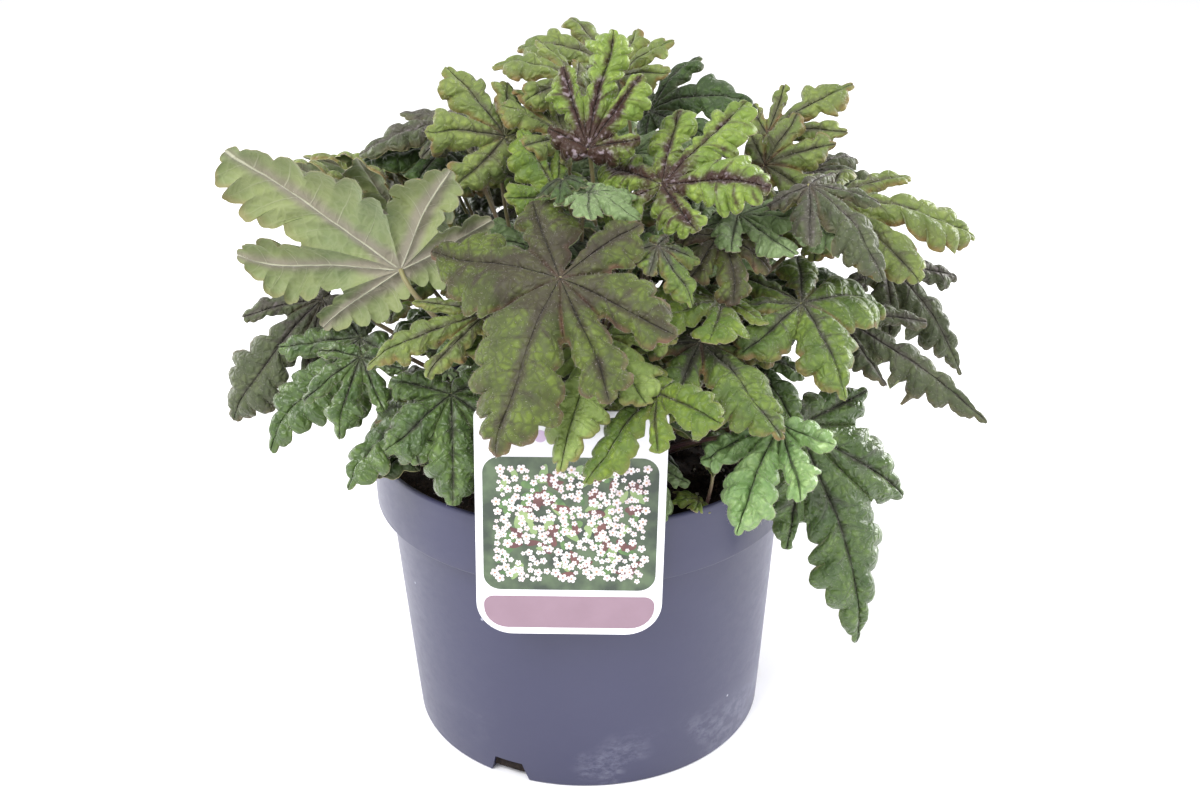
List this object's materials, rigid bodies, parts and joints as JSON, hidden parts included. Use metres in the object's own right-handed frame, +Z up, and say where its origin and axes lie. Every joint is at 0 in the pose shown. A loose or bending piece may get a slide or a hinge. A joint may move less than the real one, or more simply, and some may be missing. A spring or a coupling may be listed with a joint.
{
  "type": "potted foamflower",
  "caption": "Clump of lobed, toothed foamflower leaves on slender stalks in dark compost, in a round tapered nursery pot with a picture card over its rim.",
  "frame": {"origin": "middle of the pot's flat underside", "axes": "+Z up, -Y towards the front, where the card hangs"},
  "size_m": [0.3237, 0.2671, 0.3182],
  "materials": {
    "pot": "dark blue-grey, faintly glossy",
    "soil": "crumbly dark compost",
    "card": "printed and coated",
    "leaf_young": "soft yellow-green leaf with dark veins",
    "leaf_grown": "matte green leaf, browner towards its middle",
    "leaf_long": "matte dark green leaf"
  },
  "bodies": {
    "root": {"pot": "pot", "soil": "soil", "card": "card", "leaf_front": "leaf_grown", "leaf_front_low": "leaf_grown", "leaf_over_card": "leaf_grown", "leaf_right_fold": "leaf_grown", "leaf_bullate": "leaf_young", "leaf_rim_right": "leaf_young", "leaf_hang_right": "leaf_long", "leaf_right": "leaf_grown", "leaf_far_right": "leaf_long", "leaf_drop_right": "leaf_long", "leaf_up_right": "leaf_grown", "leaf_grey_right": "leaf_long", "leaf_blue_right": "leaf_grown", "leaf_brown_top": "leaf_grown", "leaf_brown_low": "leaf_young", "leaf_grey_back": "leaf_grown", "leaf_star": "leaf_young", "leaf_top_middle": "leaf_young", "leaf_lime": "leaf_young", "leaf_top_left": "leaf_grown", "leaf_arc_left": "leaf_grown", "leaf_arc_back": "leaf_grown", "leaf_orange": "leaf_grown", "leaf_top_right": "leaf_grown", "leaf_arch": "leaf_grown", "leaf_underside": "leaf_grown", "leaf_olive_back": "leaf_grown", "leaf_grey_left": "leaf_long", "leaf_purple_left": "leaf_long", "leaf_low_left": "leaf_long", "leaf_down_left": "leaf_grown", "leaf_edge_left": "leaf_long", "leaf_rim_left": "leaf_grown", "leaf_dark_left": "leaf_young", "leaf_brown_middle": "leaf_young", "leaf_curl": "leaf_young", "leaf_mid_green": "leaf_grown", "leaf_blue_middle": "leaf_young", "leaf_under_fold": "leaf_grown", "leaf_far_11": "leaf_long", "leaf_far_12": "leaf_long", "leaf_far_13": "leaf_long", "leaf_far_14": "leaf_long", "leaf_far_15": "leaf_long", "leaf_far_21": "leaf_grown", "leaf_far_22": "leaf_grown", "leaf_far_23": "leaf_grown", "leaf_far_24": "leaf_grown"}
  },
  "joints": []
}
